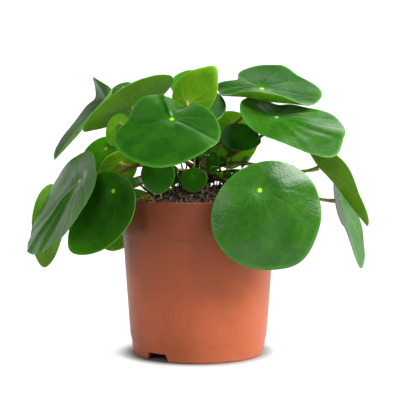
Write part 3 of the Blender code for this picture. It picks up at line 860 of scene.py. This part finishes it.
def makeShootLeaf(dice, tip, size):
    deselectAll()
    bpy.ops.mesh.primitive_grid_add(x_subdivisions=10, y_subdivisions=8, size=2)
    blade = bpy.context.object
    out = heading(dice.uniform(-70, 70))
    side = Vector((-out.y, out.x, 0))
    fold = dice.uniform(0.3, 0.8)
    rise = dice.uniform(0.5, 1.1)
    for vertex in blade.data.vertices:
        share = (vertex.co.x + 1) / 2
        across = vertex.co.y * 0.42 * size * sqrt(max(0.01, sin(pi * (0.04 + 0.92 * share))))
        along = size * share
        up = along * rise * (1 - 0.3 * share) + fold * abs(across)
        vertex.co = (tip + out * along * cos(rise) + side * across + Vector((0, 0, up - 0.5))) * mm
    wall = blade.modifiers.new("wall", "SOLIDIFY")
    wall.thickness = 0.4 * mm
    applyAll(blade)
    return blade


def makeShoots():
    dice = random.Random(41)
    groups = {"pale": [], "dark": [], "leaf": []}
    v = shootValues
    for number, (x, y, tipX, tipY, tipZ, size) in enumerate(v["shoots"]):
        foot = Vector((x, y, soilTop(x, y) - 1.5))
        tip = Vector((tipX, tipY, tipZ))
        stalk = makeShootStalk(foot, tip, (tip - foot).length * 0.4, dice.uniform(*v["stalk"]))
        groups["pale" if number % 3 else "dark"].append(stalk)
        if size:
            groups["leaf"].append(makeShootLeaf(dice, tip, size))
    for number in range(v["litter"]):
        x, y = dice.uniform(*v["stubSpread"][:2]), dice.uniform(*v["stubSpread"][2:])
        size = dice.uniform(*v["stubSize"])
        foot = Vector((x, y, soilTop(x, y) - 1))
        tip = Vector((x, y, soilTop(x, y) + dice.uniform(*v["stubRise"])))
        groups["dark"].append(makeShootStalk(foot, tip, 3, v["stubWide"]))
        groups["leaf"].append(makeShootLeaf(dice, tip, size))
    for key, pieces in groups.items():
        paint = makeShootPaint("shoot" + key.capitalize(), *v["looks"][key])
        whole = merge(pieces, "shoots" + key.capitalize(), paint)
        smoothByAngle(whole, 60)
        finishPiece(whole, "young_leaf" if key == "leaf" else "leaf_stalk")


makeShoots()
print("shoots made")


# ---- soil ----

soilValues = {
    "radius": 57.3, "spokes": 150, "rings": 56, "lump": 1.3,
    "sides": ((56.6, 91), (51.2, 15), (48.8, 8.6)),  # radius and height of each ring, going down
    "crumbs": 900, "chips": 160, "spread": 55.8,
    "stemRoom": 90,  # square millimetres, the stem's own spot stays clear
    "fibres": 90, "fibreSpread": 52, "fibreLimit": 54, "fibreRun": (3, 8), "fibreThick": (0.12, 0.3),
}


def makeSoilPaint(name, low, high, fleck):
    paint, tree, shader = startPaint(name, {"Specular IOR Level": 0.3})
    place = objectSpot(tree)
    patch = patches(tree, place, 180.0, low, high)
    dots = flecks(tree, place, 700.0, 0.5)
    color = blend(tree, times(tree, dots, 0.6), patch["Color"], fleck)
    gritNode = addNode(tree, "TexNoise", {"Vector": place, "Scale": 900.0, "Detail": 6.0, "Roughness": 0.75})
    grit = gritNode.outputs["Fac"]
    feed(tree, shader, color, ramp(tree, grit, 0.3, 0.7, 0.55, 0.95), grit, 0.001, 0.9)
    return paint


soilPaint = makeSoilPaint(
    "pottingSoil", (0.012, 0.007, 0.004, 1), (0.055, 0.032, 0.02, 1), (0.16, 0.10, 0.06, 1))
crumbPaint = makeSoilPaint(
    "soilCrumb", (0.010, 0.006, 0.004, 1), (0.085, 0.050, 0.030, 1), (0.26, 0.18, 0.12, 1))
fibrePaint = makeSoilPaint("soilFibre", (0.10, 0.06, 0.03, 1), (0.30, 0.20, 0.11, 1), (0.4, 0.3, 0.2, 1))


def makeSoil():
    v = soilValues
    soil = named(makeDisc(v["spokes"], v["rings"]), "soilPlug")
    for vertex in soil.data.vertices:
        angle, share = polarOf(vertex.co)
        x, y = cos(angle) * share * v["radius"], sin(angle) * share * v["radius"]
        spot = Vector((x / 5, y / 5, 0.3))
        lump = noise.noise(spot) + 0.5 * noise.noise(spot * 2.3) + 0.3 * noise.noise(spot * 5.1)
        drop = 1.2 * smoothStep(0.93, 1.0, share)
        vertex.co = Vector((x, y, soilTop(x, y) - 0.5 + v["lump"] * lump - drop)) * mm
    pick(soil)
    editMode("EDGE")
    selectOpenEdge()
    for radius, z in v["sides"]:
        bpy.ops.mesh.extrude_region_move()
        objectMode()
        for vertex in soil.data.vertices:
            if vertex.select:
                turn = atan2(vertex.co.y, vertex.co.x)
                vertex.co = Vector((cos(turn) * radius, sin(turn) * radius, z)) * mm
        editMode("EDGE")
    bpy.ops.mesh.edge_face_add()
    turnOutward()
    wear(soil, soilPaint)
    smoothByAngle(soil, 70)
    return finishPiece(soil, "potting_soil", "soil")


def makeCrumbShape(name, stretch, seed):
    deselectAll()
    bpy.ops.mesh.primitive_ico_sphere_add(subdivisions=1, radius=1 * mm)
    crumb = named(bpy.context.object, name)
    editMode("FACE")
    bpy.ops.mesh.subdivide(number_cuts=1, fractal=0.5, seed=seed)
    objectMode()
    for vertex in crumb.data.vertices:
        bump = 1 + 0.35 * noise.noise(vertex.co / mm * 1.3 + Vector((seed, 0, 0)))
        vertex.co = Vector([part * bump * size for part, size in zip(vertex.co, stretch)])
    return crumb


def scatter(shapes, count, sizes, seed, paint, name, sink):
    dice = random.Random(seed)
    placed = []
    for number in range(count):
        x, y = spotInRound(dice, soilValues["spread"])
        if (x - stemValues["place"][0]) ** 2 + (y - stemValues["place"][1]) ** 2 < soilValues["stemRoom"]:
            continue
        size = dice.uniform(*sizes) * dice.uniform(0.6, 1)
        bit = freshCopy(dice.choice(shapes), f"{name}{number}")
        bit.location = Vector((x, y, soilTop(x, y) - sink + size * 0.3)) * mm
        bit.rotation_euler = [dice.uniform(0, 2 * pi) for axis in range(3)]
        bit.scale = (size,) * 3
        placed.append(bit)
    for shape in shapes:
        bpy.data.objects.remove(shape, do_unlink=True)
    return merge(placed, name, paint)


def makeCrumbs():
    lumpSizes = [(1, 0.8, 0.7), (0.9, 1, 0.6), (1, 1, 0.9)]
    lumps = [makeCrumbShape(f"lump{n}", size, n) for n, size in enumerate(lumpSizes)]
    crumbs = scatter(lumps, soilValues["crumbs"], (0.7, 2.1), 11, crumbPaint, "soilCrumbs", 0.1)
    chipSizes = [(1.7, 0.7, 0.3), (2.2, 0.6, 0.35)]
    chips = [makeCrumbShape(f"chip{n}", size, n + 5) for n, size in enumerate(chipSizes)]
    bark = scatter(chips, soilValues["chips"], (1.0, 2.0), 12, fibrePaint, "barkChips", -0.2)
    for piece in (crumbs, bark):
        smoothByAngle(piece, 35)
        finishPiece(piece, "potting_soil")


def makeFibres():
    v = soilValues
    dice = random.Random(21)
    strands = []
    for number in range(v["fibres"]):
        x, y = spotInRound(dice, v["fibreSpread"])
        strand = newStrand()
        way = dice.uniform(0, 2 * pi)
        long = dice.uniform(*v["fibreRun"])
        for point, share in zip(strand.data.splines[0].bezier_points, (0, 1)):
            px, py = x + cos(way) * long * share, y + sin(way) * long * share
            if px * px + py * py > v["fibreLimit"] ** 2:
                px, py = x, y
            z = soilTop(px, py) + dice.uniform(0.2, 1.6)
            point.co = Vector((px, py, z)) * mm
            bend = Vector((dice.uniform(-2, 2), dice.uniform(-2, 2), dice.uniform(0, 2.4)))
            point.handle_left = point.co - bend * mm
            point.handle_right = point.co + bend * mm
        strands.append(strandMesh(strand, dice.uniform(*v["fibreThick"]), 1, 8))
    fibres = merge(strands, "soilFibres", fibrePaint)
    smoothByAngle(fibres, 50)
    return finishPiece(fibres, "potting_soil")


makeSoil()
makeCrumbs()
makeFibres()
print("soil made")


# ---- sprout ----

sproutValues = {"place": (-40, -30), "leaves": 17, "long": (5, 11), "wide": (0.9, 1.6), "lean": (0.5, 1.35),
                "wall": 0.25}


def makeSproutPaint():
    paint, tree, shader = startPaint("sproutLeaf", {"Subsurface Weight": 0.3, "Subsurface Scale": 0.001})
    place = objectSpot(tree)
    split = mapParts(tree, "sproutTone")
    patch = patches(tree, place, 300.0, (0.45, 0.07, 0.02, 1), (0.70, 0.22, 0.06, 1))
    green = patches(tree, place, 300.0, (0.14, 0.33, 0.03, 1), (0.35, 0.55, 0.08, 1))
    color = blend(tree, ramp(tree, split["X"], 0.35, 0.65), patch["Color"], green["Color"])
    feed(tree, shader, color, ramp(tree, patch["Mask"], 0.0, 1.0, 0.4, 0.6), patch["Mask"], 0.0001, 0.4)
    return paint


def makeSprout():
    dice = random.Random(5)
    x, y = sproutValues["place"]
    foot = Vector((x, y, soilTop(x, y)))
    bits = []
    for number in range(sproutValues["leaves"]):
        deselectAll()
        bpy.ops.mesh.primitive_plane_add(size=2)
        bit = bpy.context.object
        editMode("FACE")
        bpy.ops.mesh.subdivide(number_cuts=5)
        objectMode()
        long = dice.uniform(*sproutValues["long"])
        wide = dice.uniform(*sproutValues["wide"])
        turn = dice.uniform(0, 2 * pi)
        lean = dice.uniform(*sproutValues["lean"])
        out = Vector((cos(turn), sin(turn), 0))
        side = Vector((-sin(turn), cos(turn), 0))
        for vertex in bit.data.vertices:
            share = (vertex.co.x + 1) / 2
            across = vertex.co.y * wide * max(0.08, sin(pi * min(1, share * 0.92 + 0.08))) ** 0.8
            rise = long * (1.25 * sin(lean) * share - 0.3 * share * share)
            spot = foot + out * long * cos(lean) * share + side * across
            vertex.co = (spot + Vector((0, 0, 0.6 + max(0, rise) + 0.3 * across * across))) * mm
        tone, = freshMaps(bit.data, "sproutTone")
        shade = 0.0 if number % 2 else 1.0
        for loop in tone:
            loop.uv = (shade, 0)
        bits.append(bit)
    sprout = merge(bits, "seedling", makeSproutPaint())
    wall = sprout.modifiers.new("wall", "SOLIDIFY")
    wall.thickness = sproutValues["wall"] * mm
    wall.offset = 0
    applyAll(sprout)
    smoothByAngle(sprout, 60)
    return finishPiece(sprout, "sprout_leaf", "sprout")


makeSprout()
print("sprout made")


# ---- pot ----

potValues = {
    "sides": 192, "notchTurns": (-37, 83, 203),
    "notchSpot": (0.051, 0.002), "notchSize": (0.021, 0.016, 0.008),  # in metres
    "notchTop": 0.78,  # share of the width left at a notch's top
    "drains": 6, "drainRing": 26, "drainRadius": 4,
    "drainDepth": 0.006, "drainZ": 0.0077,  # in metres
    "profile": [(48, 7), (48, 0.5), (48.4, 0.05), (49.6, 0), (50.3, 0.3), (50.7, 1.0), (50.9, 2.0),
        (51.5, 8.0), (51.8, 10.6), (52.2, 12.2), (52.8, 14.6), (54.2, 32), (55.6, 52), (57.0, 72),
        (58.3, 90.0), (58.42, 90.5), (59.1, 90.8), (59.3, 91.2), (59.5, 99), (59.7, 108), (59.85, 115.6),
        (59.98, 116.2), (60.0, 116.9), (59.8, 117.3), (59.4, 117.5), (58.8, 117.5), (58.3, 117.3),
        (58.0, 116.8), (57.8, 112), (57.0, 91), (55.2, 66), (53.4, 40), (51.6, 14), (50.2, 9.2),
        (49.2, 8.4)],
}


def makePotPaint():
    paint, tree, shader = startPaint("potPlastic", {"Specular IOR Level": 0.22})
    place = objectSpot(tree)
    split = addNode(tree, "SeparateXYZ", {0: place}).outputs
    turn = calc(tree, "ARCTAN2", split["X"], split["Y"])
    cloud = patches(tree, place, 22.0, (0.50, 0.112, 0.042, 1), (0.58, 0.140, 0.055, 1))
    ringed = addNode(tree, "CombineXYZ", {"X": times(tree, turn, 5.5),
                                          "Z": times(tree, split["Z"], 3.0)}).outputs[0]
    streak = grain(tree, ringed, 8.0, 4.0)
    color = blend(tree, times(tree, ramp(tree, streak, 0.35, 0.7), 0.2), cloud["Color"],
                  (0.62, 0.19, 0.09, 1))
    dust = flecks(tree, place, 500.0, 0.25)
    color = blend(tree, times(tree, dust, 0.25), color, (0.30, 0.14, 0.08, 1))
    scuff = times(tree, ramp(tree, split["Z"], 0.0, 0.006, 1.0, 0.0), 0.25)
    color = blend(tree, scuff, color, (0.60, 0.28, 0.18, 1))
    # painted shade: the wall darkens upwards from 35 mm to 112 mm, up to 70% of the way to a dark brown, in
    # place of the shade the leaves cast on it
    color = blend(tree, ramp(tree, split["Z"], 0.035, 0.112, 0.0, 0.7), color, (0.10, 0.026, 0.012, 1))
    fine = grain(tree, place, 1200.0, 4.0)
    height = calc(tree, "ADD", times(tree, fine, 0.25), streak)
    feed(tree, shader, color, ramp(tree, streak, 0.3, 0.7, 0.36, 0.46), height, 0.0002, 0.35)
    return paint


def cutAway(target, cutters):
    for cutter in cutters:
        cut = target.modifiers.new("cut", "BOOLEAN")
        cut.operation = "DIFFERENCE"
        cut.solver = "EXACT"
        cut.object = cutter
    applyAll(target)
    for cutter in cutters:
        bpy.data.objects.remove(cutter, do_unlink=True)


def makePot():
    v = potValues
    profile = v["profile"]
    radius, z = profile[0]
    deselectAll()
    bpy.ops.mesh.primitive_circle_add(vertices=v["sides"], radius=radius * mm, location=(0, 0, z * mm))
    pot = settle(named(bpy.context.object, "potShell"))
    editMode("EDGE")
    bpy.ops.mesh.select_all(action="SELECT")
    for nextRadius, nextZ in profile[1:]:
        growRing(nextRadius / radius, (nextZ - z) * mm, (0, 0, nextZ * mm))
        radius, z = nextRadius, nextZ
    selectOpenEdge()
    bpy.ops.mesh.fill_holes(sides=0)
    turnOutward()
    cutters = []
    for turn in v["notchTurns"]:
        deselectAll()
        spot = heading(turn) * v["notchSpot"][0] + Vector((0, 0, v["notchSpot"][1]))
        bpy.ops.mesh.primitive_cube_add(size=1, location=spot, rotation=(0, 0, radians(turn)),
                                        scale=v["notchSize"])
        notch = bpy.context.object
        for vertex in notch.data.vertices:
            if vertex.co.z > 0:
                vertex.co.x *= v["notchTop"]
        cutters.append(notch)
    for number in range(v["drains"]):
        turn = 2 * pi * (number + 0.31) / v["drains"]
        deselectAll()
        bpy.ops.mesh.primitive_cylinder_add(
            vertices=32, radius=v["drainRadius"] * mm, depth=v["drainDepth"],
            location=(cos(turn) * v["drainRing"] * mm, sin(turn) * v["drainRing"] * mm, v["drainZ"]))
        cutters.append(bpy.context.object)
    cutAway(pot, cutters)
    pot.data.materials.append(makePotPaint())
    smoothByAngle(pot, 32)
    return finishPiece(pot, "pot_plastic", "pot")


makePot()
print("pot made")


# ---- stage, lights, camera ----

stageValues = {
    "lamps": {"keyLight": ((0.95, -0.42, 1.14), 0.9, 43.0),  # place, size, power
              "leftLight": ((-0.40, -1.05, 0.64), 0.45, 3.6),
              "backLight": ((0.1, 1.0, 1.10), 1.0, 6.0)},
    "aim": (0, 0, 0.12), "dim": 0.03, "bright": 1.35,
    "floorGlow": 0.84, "paintedFootShade": (0.049, 0.068), "farGlow": (0.3, 1.2),  # distances in metres
    "glossyGlow": 0.8, "bounceGlow": 0.15,
    "camera": (0, -0.714, 0.141), "lens": 83.07, "pitch": 1.89, "yaw": -0.09,
}


def makeFloor():
    v = stageValues
    deselectAll()
    bpy.ops.mesh.primitive_circle_add(vertices=96, radius=4, fill_type="NGON")
    floor = named(bpy.context.object, "studioFloor")
    paint, tree, shader = startPaint("studioFloor", {
        "Roughness": 0.7, "Base Color": (0.38, 0.38, 0.38, 1), "Specular IOR Level": 0.1,
        "Emission Strength": 1.0})
    place = objectSpot(tree)
    away = addNode(tree, "VectorMath", {0: place}, operation="LENGTH").outputs["Value"]
    # painted shade: the floor's glow rises from nothing at 49 mm to full at 68 mm from the middle, so the
    # floor reads darker in a ring round the pot's foot
    near = ramp(tree, away, *v["paintedFootShade"], 0.0, v["floorGlow"])
    glow = calc(tree, "ADD", near, ramp(tree, away, *v["farGlow"], 0.0, 1.0 - v["floorGlow"]))
    ray = addNode(tree, "LightPath").outputs
    direct = calc(tree, "MAXIMUM", ray["Is Camera Ray"], times(tree, ray["Is Glossy Ray"], v["glossyGlow"]))
    seen = times(tree, glow, ramp(tree, direct, 0.0, 1.0, v["bounceGlow"], 1.0, "LINEAR"))
    tree.links.new(seen, shader.inputs["Emission Color"])
    floor.data.materials.append(paint)


def addLamp(name, place, size, power):
    deselectAll()
    bpy.ops.object.light_add(type="AREA", location=place)
    lamp = named(bpy.context.object, name)
    lamp.data.size = size
    lamp.data.energy = power
    lamp.visible_camera = False
    aim = Vector(stageValues["aim"]) - Vector(place)
    lamp.rotation_euler = aim.to_track_quat("-Z", "Y").to_euler()
    return lamp


def makeWorld():  # bright low down at the back and sides, dim overhead and in front
    world = bpy.data.worlds.new("studioWorld")
    world.use_nodes = True
    tree = world.node_tree
    background = tree.nodes["Background"]
    way = addNode(tree, "SeparateXYZ", {0: addNode(tree, "TexCoord").outputs["Generated"]}).outputs
    back = ramp(tree, way["Y"], -0.35, 0.40)
    low = ramp(tree, way["Z"], 0.05, 0.50, 1.0, 0.30)
    low = times(tree, low, ramp(tree, way["Z"], 0.84, 0.97, 1.0, 0.0))
    glow = times(tree, back, low)
    power = ramp(tree, glow, 0.0, 1.0, stageValues["dim"], stageValues["bright"], "LINEAR")
    ray = addNode(tree, "LightPath").outputs["Is Camera Ray"]
    tree.links.new(calc(tree, "MAXIMUM", power, ray), background.inputs["Strength"])
    background.inputs["Color"].default_value = (1, 1, 1, 1)
    bpy.context.scene.world = world


def makeCamera():
    deselectAll()
    bpy.ops.object.camera_add(location=stageValues["camera"], rotation=(
        radians(90 - stageValues["pitch"]), 0, radians(stageValues["yaw"])))
    camera = named(bpy.context.object, "studioCamera")
    camera.data.lens = stageValues["lens"]
    bpy.context.scene.camera = camera


makeFloor()
for lampName, lampSettings in stageValues["lamps"].items():
    addLamp(lampName, *lampSettings)
makeWorld()
makeCamera()
bpy.context.scene.view_settings.view_transform = "Standard"
print("stage made")
